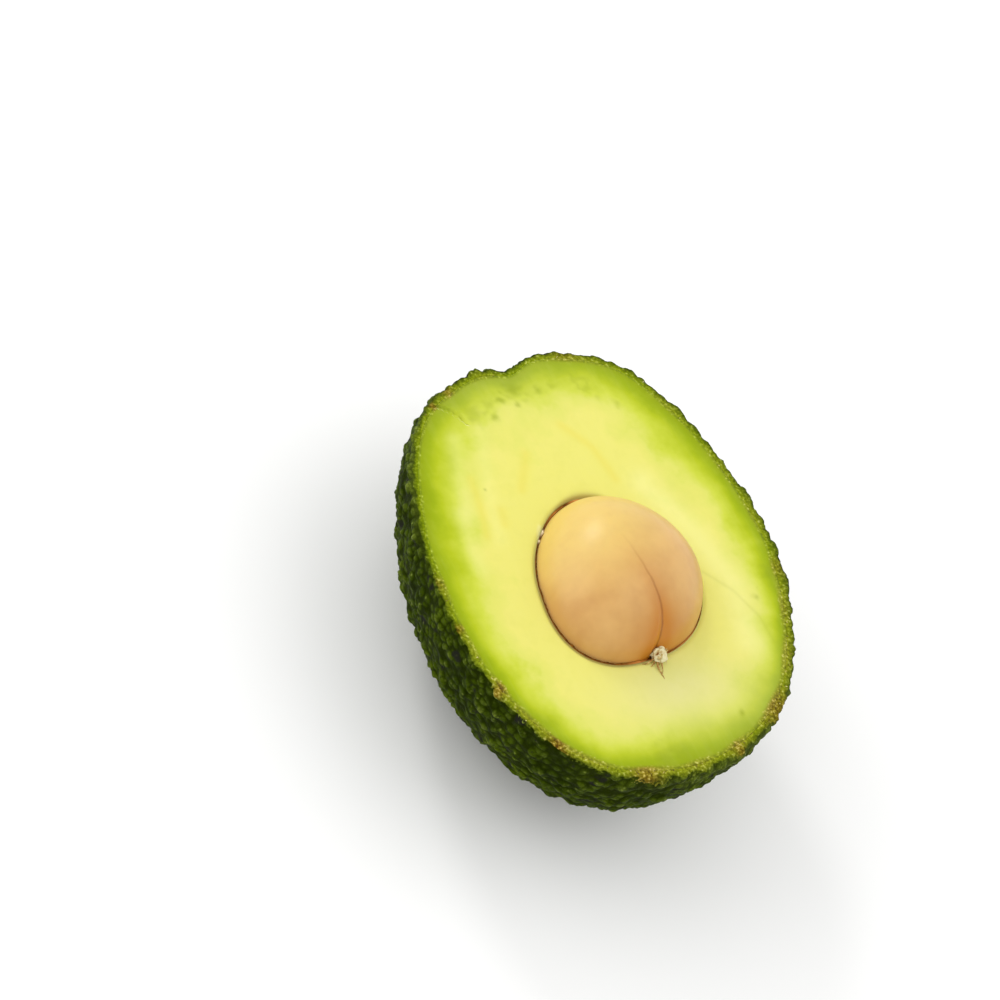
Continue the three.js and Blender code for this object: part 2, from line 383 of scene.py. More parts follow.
def grown(base, tree, inputs):
    """Runs a geometry tree on a piece and keeps the result as the piece's own plain mesh."""
    modifier = base.modifiers.new(tree.name, "NODES")
    modifier.node_group = tree
    for item in tree.interface.items_tree:
        if item.in_out == "INPUT" and item.name in inputs:
            modifier[item.identifier] = inputs[item.name]
    depsgraph = bpy.context.evaluated_depsgraph_get()
    result = bpy.data.meshes.new_from_object(
        base.evaluated_get(depsgraph), preserve_all_data_layers=True, depsgraph=depsgraph
    )
    base.modifiers.remove(modifier)
    base.data = result
    return base


def new_tree(name, sizes):
    """A geometry tree with a geometry input, named sizes, a material and a geometry output, the
    function that adds nodes to it, and its inputs' sockets."""
    tree = bpy.data.node_groups.new(name, "GeometryNodeTree")
    inputs = {"Geometry": "Geometry", **sizes, "Material": "Material"}
    for label, kind in inputs.items():
        tree.interface.new_socket(label, in_out="INPUT", socket_type="NodeSocket" + kind)
    tree.interface.new_socket("Geometry", in_out="OUTPUT", socket_type="NodeSocketGeometry")
    return tree, partial(add_node, tree), tree.nodes.new("NodeGroupInput").outputs


def end_tree(node, geometry, given):
    """Makes the result plain mesh, gives it the material and passes it on."""
    whole = node("GeometryNodeRealizeInstances", {"Geometry": geometry})
    dressed = node("GeometryNodeSetMaterial", {"Geometry": whole, "Material": given["Material"]})
    node("NodeGroupOutput", {"Geometry": dressed})


def new_material(name):
    """An empty material, and the function that adds nodes to it."""
    material = bpy.data.materials.new(name)
    material.use_nodes = True
    material.node_tree.nodes.clear()
    return material, partial(add_node, material.node_tree)


# ---- Camera, light and floor ----

def add_camera():
    """The camera. Its right, up and back directions are kept for the lamps."""
    a, e = VIEW_AZIMUTH, VIEW_ELEVATION
    back = Vector((math.sin(a) * math.cos(e), -math.cos(a) * math.cos(e), math.sin(e)))
    level = Vector((math.cos(a), math.sin(a), 0))
    upright = back.cross(level)
    right = math.cos(VIEW_LEAN) * upright + math.sin(VIEW_LEAN) * level
    up = math.sin(VIEW_LEAN) * upright - math.cos(VIEW_LEAN) * level
    across = (MIDDLE_PIXEL[0] - PICTURE / 2) / PIXELS_PER_MM
    down = (MIDDLE_PIXEL[1] - PICTURE / 2) / PIXELS_PER_MM
    place = Vector(MIDDLE) + VIEW_DISTANCE * back - across * right + down * up
    camera = bpy.data.cameras.new("camera")
    camera.sensor_width = SENSOR
    camera.lens = PIXELS_PER_MM * VIEW_DISTANCE * SENSOR / PICTURE
    camera.clip_start, camera.clip_end = 0.05, 20
    holder = placed("camera", camera)
    turned = Matrix((right, up, back)).transposed().to_4x4()
    holder.matrix_world = Matrix.Translation(place * MM) @ turned
    bpy.context.scene.camera = holder
    return right, up, back


def add_lamp(name, direction, size, power):
    """A square white soft box in this direction from the middle of the cut face, turned to it."""
    lamp = bpy.data.lights.new(name, "AREA")
    lamp.size = size * MM
    lamp.energy = power
    holder = placed(name, lamp)
    towards = direction.normalized()
    holder.location = (Vector(MIDDLE) + towards * LAMP_DISTANCE) * MM
    holder.rotation_euler = towards.to_track_quat("Z", "Y").to_euler()


def add_studio(right, up, back):
    scene = bpy.context.scene
    scene.view_settings.view_transform = "Standard"
    for name, (x, y, z), size, power in LAMPS:
        add_lamp(name, x * right + y * up + z * back, size, power)
    world = bpy.data.worlds.new("studio")
    world.use_nodes = True
    glow = world.node_tree.nodes["Background"].inputs
    glow["Color"].default_value = linear("#FFFFFF")
    glow["Strength"].default_value = WORLD_GLOW
    scene.world = world

    material, node = new_material("matte_white_board")
    surface = node("BsdfPrincipled", {
        "Base Color": "#FAFAF9", "Roughness": 0.8, "Specular IOR Level": 0.1,
    })
    node("OutputMaterial", {"Surface": surface})
    corners = np.array([[-1, -1, 0], [1, -1, 0], [1, 1, 0], [-1, 1, 0]]) * FLOOR_HALF
    piece("floor", corners, np.array([[0, 1, 2, 3]]), material)


# ---- Finishes ----

def cut_edge_colours(node, place, across, torn, toasted):
    """The rind where the knife cut it: olive, paler towards the flesh, and darker at its outer side,
    partly its own colour and partly painted shade. Where it is torn it is fibrous, with golden shreds
    about 0.5 mm across, and in places it has dried brown."""
    shreds = node("TexNoise", {"Vector": place, "Scale": 1 / (0.55 * MM), "Detail": 3})
    frays = node("Math", (across, 0.9, 0.12), operation="MULTIPLY_ADD")
    frays = node("Math", (frays, torn), operation="MULTIPLY")
    # The outer side's darker olive is partly its own colour and partly painted shade.
    colour = node("ValToRGB", {"Fac": shreds},
                  [(0.34, "#2E3C0A"), (0.5, "#3C4A0E"), (0.62, "#505E14"), (0.76, "#7E8A3C")])
    for amount, shades in (
        (across, [(0.34, "#6E8208"), (0.48, "#80920C"), (0.6, "#92A416"), (0.74, "#BCC854")]),
        (frays, [(0.36, "#6C681A"), (0.46, "#8A8A22"), (0.58, "#9E9E2C"), (0.73, "#D2CC74")]),
        (toasted, [(0.34, "#523810"), (0.46, "#765E18"), (0.58, "#96802C"), (0.7, "#D2BA66")]),
    ):
        over = node("ValToRGB", {"Fac": shreds}, shades)
        colour = node("Mix", {"Factor": amount, "A": colour, "B": over}, data_type="RGBA")
    return colour, shreds


def waxy_rind():
    """Avocado rind, grown: leather with a thin wax bloom. The small soft glints on its pebbles are
    painted highlights, its valleys are darkened with painted shade, and corky lenticels show as
    dull purple-brown spots."""
    material, node = new_material("waxy_rind")
    place = node("TexCoord").outputs["Object"]
    height, tone, across_cut, torn, toasted, sunny = (
        node("Attribute", attribute_name=name).outputs["Fac"]
        for name in ("pebble", "tone", "rind", "torn", "toasted", "sunny")
    )

    # Patches of older, darker skin are about 14 mm wide. Corky spots are 1 to 3 mm wide and cover
    # a few hundredths. Pores are about 0.2 mm; drawn at 0.5 mm so that they show.
    patches, cork, pores = (
        node("TexNoise", {"Vector": place, "Scale": 1 / (size * MM), "Detail": 3})
        for size in (14, 3.4, 0.5)
    )
    colour = node("ValToRGB", {"Fac": patches}, [(0.35, "#2B3A02"), (0.65, "#455604")])
    spots = node("ValToRGB", {"Fac": cork}, [(0.61, 0.0), (0.68, 0.85)])
    # Each pebble has its own tone, and its top is lighter: a painted highlight.
    light = node("ValToRGB", {"Fac": tone}, [(0.2, 0.15), (0.95, 1.0)])
    high = node("ValToRGB", {"Fac": height}, [(0.2, 0.0), (0.8, 0.85)])
    tone_and_highlight = node("Math", (light, high), operation="MULTIPLY")
    # The valleys between pebbles are darkened: painted shade, with less of it where light is painted
    # below the cut.
    low = node("ValToRGB", {"Fac": height}, [(0.03, 0.85), (0.25, 0.0)])
    shaded = node("Math", (1.0, sunny), operation="SUBTRACT")
    valleys = node("Math", (low, shaded), operation="MULTIPLY")
    # Each pebble is wrinkled into smaller ones, about 0.8 mm wide, with painted shade in the lines
    # between them.
    wrinkles = node("TexVoronoi", {"Vector": place, "Scale": 1 / (0.8 * MM)},
                    feature="DISTANCE_TO_EDGE")
    folds = node("ValToRGB", {"Fac": wrinkles}, [(0.0, 0.5), (0.12, 0.0)])
    # Lenticels are pale breathing dots about 0.4 mm across and 1.1 mm apart, some fainter. They are
    # also painted highlights, stronger on the higher pebbles.
    cells = node("TexVoronoi", {"Vector": place, "Scale": 1 / (1.1 * MM)})
    dot = node("ValToRGB", {"Fac": cells.outputs["Distance"]}, [(0.12, 1.0), (0.32, 0.0)])
    some = node("SeparateXYZ", {"Vector": cells.outputs["Color"]})
    raised = node("Math", (some, height), operation="MULTIPLY")
    dots = node("Math", (dot, raised), operation="MULTIPLY")

    # The cut edge, and the torn flesh that hangs over below it.
    edge, shreds = cut_edge_colours(node, place, across_cut, torn, toasted)
    on_cut = node("ValToRGB", {"Fac": across_cut}, [(0.0, 0.0), (0.15, 1.0)])
    ragged = node("Math", (shreds, 1.5, torn), operation="MULTIPLY_ADD")
    hanging = node("Math", (ragged, 0.5), operation="MULTIPLY")
    hanging = node("ValToRGB", {"Fac": hanging}, [(0.68, 0.0), (0.76, 1.0)])
    spread = node("Math", (on_cut, hanging), operation="MAXIMUM")
    for amount, shade in (
        (tone_and_highlight, "#707E30"), (sunny, "#7C8838"), (valleys, "#161E00"), (folds, "#1C2600"),
        (spots, "#20201C"), (dots, "#A2B054"), (spread, edge),
    ):
        colour = node("Mix", {"Factor": amount, "A": colour, "B": shade}, data_type="RGBA")

    gloss = node("ValToRGB", {"Fac": height}, [(0.1, 0.55), (0.75, 0.36)])
    rough = node("Mix", {"Factor": spots, "A": gloss, "B": "#C8C8C8"}, data_type="RGBA")
    wrinkled = node("Math", (folds, -0.6, pores), operation="MULTIPLY_ADD")
    bump = node("Bump", {"Height": wrinkled, "Strength": 0.7, "Distance": 0.2 * MM})
    surface = node("BsdfPrincipled", {
        "Base Color": colour, "Roughness": rough, "IOR": 1.45, "Specular IOR Level": 0.02,
        "Specular Tint": "#BCC460", "Normal": bump,
    })
    node("OutputMaterial", {"Surface": surface})
    return material


def buttery_flesh():
    """Ripe avocado flesh, cut with a knife: dense and oily, so light sinks in a little and the
    face has a soft sheen. It is green under the skin and butter yellow round the seed."""
    material, node = new_material("buttery_flesh")
    place = node("TexCoord").outputs["Object"]
    band, under_rind, torn, toasted, veins, pale, golden, cream, stain, nick, by_nick = (
        node("Attribute", attribute_name=name).outputs["Fac"]
        for name in (
            "band", "under_rind", "torn", "toasted", "vein", "pale", "golden", "cream", "stain",
            "nick", "by_nick",
        )
    )

    # The green fades inwards in soft clouds about 8 mm wide, with mottles of 3 mm in them. Fibres
    # run along the fruit, about 1.5 mm apart and 15 mm long.
    clouds = node("TexNoise", {"Vector": place, "Scale": 1 / (8 * MM), "Detail": 4})
    along = node("Mapping", {"Vector": place, "Scale": (1.0, 0.1, 1.0)})
    fibres = node("TexNoise", {"Vector": along, "Scale": 1 / (1.5 * MM), "Detail": 3})
    mottle = node("TexNoise", {"Vector": place, "Scale": 1 / (3 * MM), "Detail": 3})
    wander = node("Math", (clouds, 1.5, -0.95), operation="MULTIPLY_ADD")
    moved = node("Math", (mottle, 0.4, wander), operation="MULTIPLY_ADD")
    ease = node("Math", (moved, band, band), operation="MULTIPLY_ADD")
    ripe = node("Math", (ease, 2.5), operation="DIVIDE")
    colour = node("ValToRGB", {"Fac": ripe}, [
        (0.0, "#879800"), (0.1, "#97AA08"), (0.2, "#B0BE1A"), (0.34, "#C7D042"),
        (0.5, "#D8D968"), (0.75, "#E2DD74"),
    ])
    yellow = node("Math", (golden, 0.3), operation="MULTIPLY")
    fibre = node("ValToRGB", {"Fac": fibres}, [(0.5, 0.0), (0.75, 0.035)])
    lighter = node("Math", (fibre, pale), operation="MAXIMUM")
    faint = node("ValToRGB", {"Fac": mottle}, [(0.5, 0.0), (0.8, 0.14)])
    # The knife's nick is a thin dark line, painted shade in its groove, with a pale lip beside it.
    lip = node("ValToRGB", {"Fac": nick}, [(0.52, 0.0), (0.6, 0.75), (0.78, 0.0)])
    slit_shade = node("ValToRGB", {"Fac": nick}, [(0.44, 0.0), (0.5, 0.6), (0.56, 0.0)])
    lip, slit_shade = (node("Math", (line, by_nick), operation="MULTIPLY") for line in (lip, slit_shade))
    # Close under the rind the flesh is speckled where the knife frayed it.
    edge, shreds = cut_edge_colours(node, place, 1.0, torn, toasted)
    close = node("Math", (shreds, 1.4, -0.7), operation="MULTIPLY_ADD")
    ragged = node("Math", (close, under_rind, under_rind), operation="MULTIPLY_ADD")
    near = node("ValToRGB", {"Fac": ragged}, [(0.2, 0.0), (0.8, 1.0)])
    # Round the hollow the flesh is darkened, partly by the coat's stain and partly with painted
    # shadow.
    for amount, shade in (
        (cream, "#DCD88C"), (yellow, "#E0CE3C"), (lighter, "#F0EEA0"), (faint, "#C4C650"),
        (veins, "#8C9A1E"), (lip, "#ECEEA0"), (slit_shade, "#7E8A14"), (near, edge), (stain, "#8A6A2C"),
    ):
        colour = node("Mix", {"Factor": amount, "A": colour, "B": shade}, data_type="RGBA")

    # The knife's drag leaves ripples about 1 mm apart.
    ripple = node("TexNoise", {"Vector": place, "Scale": 1 / (1.2 * MM), "Detail": 2})
    bump = node("Bump", {"Height": ripple, "Strength": 0.15, "Distance": 0.08 * MM})
    surface = node("BsdfPrincipled", {
        "Base Color": colour, "Roughness": 0.5, "IOR": 1.45, "Specular IOR Level": 0.12,
        "Subsurface Weight": 0.25, "Subsurface Radius": (1.0, 1.0, 0.35),
        "Subsurface Scale": 1.2 * MM, "Normal": bump,
    })
    node("OutputMaterial", {"Surface": surface})
    return material


def peeled_seed():
    """An avocado's seed without its coat: smooth, starchy seed halves with a satin skin, tan with
    faint clouds, yellower on the crown, partly its own colour and partly painted light, and
    orange-brown along the seam at the tip."""
    material, node = new_material("peeled_seed")
    place = node("TexCoord").outputs["Object"]
    aside, seam, tip, crown = (
        node("Attribute", attribute_name=name).outputs["Fac"]
        for name in ("aside", "seam", "tip", "crown")
    )
    # Clouds in the colour are about 8 mm wide, mottles 2.5 mm, the seam's bends 1.5 mm and the
    # grain 0.8 mm.
    clouds, mottle, wander, grain = (
        node("TexNoise", {"Vector": place, "Scale": 1 / (size * MM), "Detail": 3})
        for size in (8, 2.5, 1.5, 0.8)
    )
    colour = node("ValToRGB", {"Fac": clouds}, [(0.35, "#CC9A56"), (0.65, "#DCAE68")])
    faint = node("ValToRGB", {"Fac": mottle}, [(0.45, 0.0), (0.8, 0.14)])
    # The seam is a crack a few tenths of a millimetre wide, wandering a little, darkest at the tip.
    shift = node("Math", (wander, 0.4, -0.2), operation="MULTIPLY_ADD")
    off = node("Math", (aside, shift), operation="ADD")
    away = node("Math", (off,), operation="ABSOLUTE")
    line = node("ValToRGB", {"Fac": away}, [(0.05, 0.9), (0.4, 0.0)])
    dark = node("Math", (seam, 1.8), operation="POWER")
    crack = node("Math", (line, dark), operation="MULTIPLY")
    # The crown's yellow is partly its own colour and partly painted light.
    for amount, shade in (
        (crown, "#DEBE66"), (tip, "#C47C1C"), (faint, "#B9854C"), (crack, "#9C5C08"),
    ):
        colour = node("Mix", {"Factor": amount, "A": colour, "B": shade}, data_type="RGBA")
    grainy = node("Math", (crack, -0.4, grain), operation="MULTIPLY_ADD")
    bump = node("Bump", {"Height": grainy, "Strength": 0.15, "Distance": 0.06 * MM})
    surface = node("BsdfPrincipled", {
        "Base Color": colour, "Roughness": 0.36, "IOR": 1.45, "Specular IOR Level": 0.5,
        "Subsurface Weight": 0.15, "Subsurface Radius": (1.0, 0.6, 0.3),
        "Subsurface Scale": 1.0 * MM, "Normal": bump,
    })
    node("OutputMaterial", {"Surface": surface})
    return material


def papery_coat():
    """The seed's coat, dried: thin brown papery skin, darker deeper in the hollow with painted shade,
    a little lighter at its torn edge, with pale and orange flakes."""
    material, node = new_material("papery_coat")
    place = node("TexCoord").outputs["Object"]
    edge, pale, orange = (
        node("Attribute", attribute_name=name).outputs["Fac"]
        for name in ("edge", "pale", "orange")
    )
    fibres = node("TexNoise", {"Vector": place, "Scale": 1 / (0.8 * MM), "Detail": 4})
    # Away from its torn edge the coat is darker: painted shade down in the hollow.
    colour = node("ValToRGB", {"Fac": fibres}, [(0.35, "#381A00"), (0.65, "#5C3000")])
    thin = node("ValToRGB", {"Fac": fibres}, [(0.35, "#623600"), (0.65, "#925C0C")])
    for amount, shade in ((edge, thin), (orange, "#C8823A"), (pale, "#E8D6B0")):
        colour = node("Mix", {"Factor": amount, "A": colour, "B": shade}, data_type="RGBA")
    bump = node("Bump", {"Height": fibres, "Strength": 0.5, "Distance": 0.1 * MM})
    surface = node("BsdfPrincipled", {
        "Base Color": colour, "Roughness": 0.6, "IOR": 1.45, "Specular IOR Level": 0.2,
        "Normal": bump,
    })
    node("OutputMaterial", {"Surface": surface})
    return material


def dried_stub():
    """The dried stub where the seed hung on: crumpled pith, off-white with tan folds, whose tan is
    partly its own colour and partly painted shade.
    """
    material, node = new_material("dried_stub")
    fold = node("Attribute", attribute_name="fold").outputs["Fac"]
    place = node("TexCoord").outputs["Object"]
    fine = node("TexNoise", {"Vector": place, "Scale": 1 / (0.3 * MM), "Detail": 3})
    mixed = node("Math", (fine, 0.5, fold), operation="MULTIPLY_ADD")
    colour = node("ValToRGB", {"Fac": mixed}, [
        (0.3, "#9A6E36"), (0.55, "#D2BC84"), (0.85, "#E8E0B4"),
    ])
    bump = node("Bump", {"Height": fine, "Strength": 0.6, "Distance": 0.1 * MM})
    surface = node("BsdfPrincipled", {
        "Base Color": colour, "Roughness": 0.75, "Specular IOR Level": 0.25, "Normal": bump,
    })
    node("OutputMaterial", {"Surface": surface})
    return material


def torn_fibre():
    """Shreds that the knife tears from the rind's edge, dried golden and brown."""
    material, node = new_material("torn_fibre")
    tone = node("Attribute", attribute_name="tone").outputs["Fac"]
    colour = node("ValToRGB", {"Fac": tone}, [
        (0.0, "#4E3410"), (0.3, "#7A6A1E"), (0.55, "#98922E"), (0.8, "#BCB04A"), (1.0, "#E4DC8C"),
    ])
    surface = node("BsdfPrincipled", {
        "Base Color": colour, "Roughness": 0.5, "Specular IOR Level": 0.4,
    })
    node("OutputMaterial", {"Surface": surface})
    return material


def papery_scrap():
    """Dry scraps of seed coat and pith: off-white to tan paper."""
    material, node = new_material("papery_scrap")
    tone = node("Attribute", attribute_name="tone").outputs["Fac"]
    colour = node("ValToRGB", {"Fac": tone}, [
        (0.0, "#9A7434"), (0.3, "#C8B070"), (0.6, "#E2D8A0"), (1.0, "#F4EED0"),
    ])
    surface = node("BsdfPrincipled", {
        "Base Color": colour, "Roughness": 0.7, "Specular IOR Level": 0.3,
    })
    node("OutputMaterial", {"Surface": surface})
    return material


def frayed_fibre():
    """Fibres that fed the seed, torn off and dried: orange-brown, darker in places."""
    material, node = new_material("frayed_fibre")
    place = node("TexCoord").outputs["Object"]
    fine = node("TexNoise", {"Vector": place, "Scale": 1 / (0.6 * MM), "Detail": 3})
    colour = node("ValToRGB", {"Fac": fine}, [
        (0.35, "#94682C"), (0.55, "#BE9450"), (0.7, "#D8C084"),
    ])
    surface = node("BsdfPrincipled", {
        "Base Color": colour, "Roughness": 0.6, "Specular IOR Level": 0.3,
    })
    node("OutputMaterial", {"Surface": surface})
    return material


# ---- The skin ----

def pebble_tree():
    """Raises lumps and the pebbles on them square to the fruit, on every point that has no `rind`
    value, and keeps each point's height and its pebble's own random tone."""
    tree, node, given = new_tree("raise_pebbles", {
        **dict.fromkeys([*PEBBLES, "Wander"], "Float"), "Middle": "Vector",
    })
    place = node("GeometryNodeInputPosition")
    # Noise bends the lines between pebbles, so that their outlines are rounded and uneven.
    bend = node("TexNoise", {"Vector": place, "Scale": 1 / (3 * MM), "Detail": 1})
    centred = node("VectorMath", (bend.outputs["Color"], (-0.5, -0.5, -0.5)), operation="ADD")
    reach = node("Math", (given["Pebble width"], given["Wander"]), operation="MULTIPLY")
    bent = node("VectorMath", {0: centred, "Scale": reach}, operation="SCALE")
    moved = node("VectorMath", (place, bent), operation="ADD")
    per_metre = node("Math", (1.0, given["Pebble width"]), operation="DIVIDE")
    cells = {"Vector": moved, "Scale": per_metre, "Randomness": 0.85}
    own = node("TexVoronoi", cells, feature="F1")
    line = node("TexVoronoi", cells, feature="DISTANCE_TO_EDGE")
    flank = node("MapRange", {
        "Value": line.outputs["Distance"], "From Min": 0.0, "From Max": 0.2, "To Min": 0.3,
    }, interpolation_type="SMOOTHSTEP")
    square = node("Math", (own.outputs["Distance"], 2.0), operation="POWER")
    dome = node("MapRange", {
        "Value": square, "From Min": 0.0, "From Max": 0.5, "To Min": 1.0, "To Max": 0.0,
    })
    tone = node("SeparateXYZ", {"Vector": own.outputs["Color"]})
    size = node("MapRange", {"Value": tone.outputs["Y"], "To Min": 0.35, "To Max": 1.0})
    form = node("Math", (flank, dome), operation="MULTIPLY")
    form = node("Math", (form, size), operation="MULTIPLY")
    per_metre = node("Math", (1.0, given["Lump width"]), operation="DIVIDE")
    around = node("TexVoronoi", {"Vector": moved, "Scale": per_metre}, feature="DISTANCE_TO_EDGE")
    lump = node("MapRange", {
        "Value": around.outputs["Distance"], "From Min": 0.0, "From Max": 0.4,
    }, interpolation_type="SMOOTHSTEP")
    from_spot = node("VectorMath", (place,), operation="LENGTH")
    clear = node("MapRange", {
        "Value": from_spot.outputs["Value"], "From Min": given["Flat from"],
        "From Max": given["Full from"],
    }, interpolation_type="SMOOTHSTEP")
    across_cut = node("GeometryNodeInputNamedAttribute", {"Name": "rind"}, data_type="FLOAT")
    outside = node("Math", (1.0, across_cut), operation="SUBTRACT")
    kept = node("Math", (outside, clear), operation="MULTIPLY")
    pebble = node("Math", (form, given["Pebble height"]), operation="MULTIPLY")
    high = node("Math", (lump, given["Lump height"], pebble), operation="MULTIPLY_ADD")
    high = node("Math", (high, kept), operation="MULTIPLY")
    # The lines between lumps get the same painted shade as those between pebbles. Pebbles that are
    # pressed flat
    #     # where the half lies keep their colours.
    deep = node("MapRange", {"Value": lump, "To Min": 0.5, "To Max": 1.0})
    form = node("Math", (form, deep), operation="MULTIPLY")
    form = node("Math", (form, outside), operation="MULTIPLY")

    outward = node("VectorMath", (place, given["Middle"]), operation="SUBTRACT")
    outward = node("VectorMath", (outward,), operation="NORMALIZE")
    rise = node("VectorMath", {0: outward, "Scale": high}, operation="SCALE")
    toned = given["Geometry"]
    for label, value in (("pebble", form), ("tone", tone.outputs["X"])):
        toned = node("GeometryNodeStoreNamedAttribute", {
            "Geometry": toned, "Name": label, "Value": value,
        }, data_type="FLOAT", domain="POINT")
    raised = node("GeometryNodeSetPosition", {"Geometry": toned, "Offset": rise})
    # The half lies on its own flat spot, at height 0.
    there = node("GeometryNodeInputPosition")
    floor = node("VectorMath", (there, (-1.0, -1.0, 0.0)), operation="MAXIMUM")
    pressed = node("GeometryNodeSetPosition", {"Geometry": raised, "Position": floor})
    end_tree(node, pressed, given)
    return tree


def rind_width(angles, dip=0):
    """The skin's thickness in the valleys, `dip` below the cut."""
    return RIND + (outline(RIND_AT_CUT, angles) - RIND) * math.cos(dip)


def edge_ring(directions, angles, share):
    """A ring on the skin's cut edge, this share of the way from its outer side to the flesh."""
    start, end = outline(ROUNDED_IN, angles), rind_width(angles)
    return fruit(directions, -(start + (end - start) * share))


def add_skin():
    """The rind: its outside, the cut edge and its inside, then the pebbles."""
    directions, outer_quads = ball_grid(SKIN_GRID, lower_half=True)
    outer = fruit(directions, 0)
    up_the_edge = np.clip(1 - (CUT_HEIGHT - outer[:, 2]) / ROUNDED_HIGH, 0, 1)
    drawn_in = outline(ROUNDED_IN, bearing(directions)) * (1 - np.sqrt(1 - up_the_edge**2))
    outer = fruit(directions, -drawn_in)
    level = directions[np.abs(directions[:, 2]) < 1e-9]
    ring = level[np.argsort(np.mod(bearing(level), FULL_TURN))]
    angles = bearing(ring)

    # From the outer ring across the cut edge, a little ragged, and down the inside.
    rows, rinds = [], []
    for share in (0, 0.12, 0.3, 0.5, 0.7, 0.88, 1):
        row = edge_ring(ring, angles, share)
        ragged = math.sin(math.pi * share) * (0.08 + 0.2 * share_at(TORN_EDGE, angles))
        row[:, 2] += ragged * lumps(row, 0.7, 3)
        rows.append(row)
        rinds.append(np.full(len(ring), share))
    for dip in np.linspace(0, math.pi / 2, SKIN_ROWS)[1:-1]:
        rows.append(fruit(heading(angles, dip), -rind_width(angles, dip)))
        rinds.append(np.ones(len(ring)))
    inner, inner_quads = loft(rows, last=fruit(DOWN, -RIND)[0])

    points, quads, rind = welded(
        np.concatenate([outer, inner]),
        np.concatenate([outer_quads, inner_quads + len(outer)]),
        np.concatenate([np.zeros(len(outer)), *rinds, [1]]),
    )
    turn = bearing(points)
    below = CUT_HEIGHT - points[:, 2]
    near_cut = 1 - smoothstep(below, 0, 1 + CLOT[2] * share_at([(*CLOT[:2], 1)], turn))
    skin = piece(
        "skin_pebbled", points, quads,
        rind=rind,
        torn=share_at(TORN_EDGE, turn) * near_cut,
        toasted=share_at(TOASTED_EDGE, turn) * near_cut,
        # A lighter olive below the cut: partly the skin's own colour, partly painted light.
        sunny=np.max([
            share_at([side[:3]], turn) * (1 - smoothstep(below, 0.3, side[3])) for side in OLIVE_AND_LIT_SIDES
        ], axis=0),
    )
    sizes = {label: size * MM for label, size in PEBBLES.items()}
    return grown(skin, pebble_tree(), {
        **sizes, "Wander": WANDER, "Middle": Vector(MIDDLE) * MM, "Material": waxy_rind(),
    })


def scatter_tree():
    """Scatters small crumpled chips over a surface, thicker where its `torn` value is high."""
    tree, node, given = new_tree("scatter_chips", {
        "Chips per area": "Float", "Chip size": "Vector", "Seed": "Int",
    })
    torn = node("GeometryNodeInputNamedAttribute", {"Name": "torn"}, data_type="FLOAT")
    amount = node("Math", (torn, given["Chips per area"]), operation="MULTIPLY")
    points = node("GeometryNodeDistributePointsOnFaces", {
        "Mesh": given["Geometry"], "Density": amount, "Seed": given["Seed"],
    })
    chip = node("GeometryNodeMeshIcoSphere", {"Radius": 1.0, "Subdivisions": 1})
    chip = node("GeometryNodeTransform", {"Geometry": chip, "Scale": given["Chip size"]})
    turn = node("FunctionNodeRandomValue", {
        "Min": (0.0, 0.0, 0.0), "Max": (FULL_TURN, FULL_TURN, FULL_TURN), "Seed": 12,
    }, data_type="FLOAT_VECTOR")
    size = node("FunctionNodeRandomValue", {
        "Min": (0.4, 0.4, 0.4), "Max": (1.2, 1.2, 1.2), "Seed": 13,
    }, data_type="FLOAT_VECTOR")
    strewn = node("GeometryNodeInstanceOnPoints", {
        "Points": points, "Instance": chip, "Rotation": turn, "Scale": size,
    })
    tone = node("FunctionNodeRandomValue", {"Seed": 14}, data_type="FLOAT")
    toned = node("GeometryNodeStoreNamedAttribute", {
        "Geometry": strewn, "Name": "tone", "Value": tone,
    }, data_type="FLOAT", domain="INSTANCE")
    end_tree(node, toned, given)
    return tree


def add_shreds(tree):
    """Shreds on the cut edge, most where it is torn. The ribbon that they grow on isn't kept."""
    angles = once_round(SHRED_ROUND)
    points, quads = loft([edge_ring(heading(angles), angles, share) for share in RIBBON])
    torn = np.tile(0.05 + share_at(TORN_EDGE, angles) ** 1.5, 2)
    ribbon = piece("cut_edge_shreds", points, quads, torn=torn)
    return grown(ribbon, tree, {**RIM_CHIPS, "Material": torn_fibre()})


# ---- The flesh ----

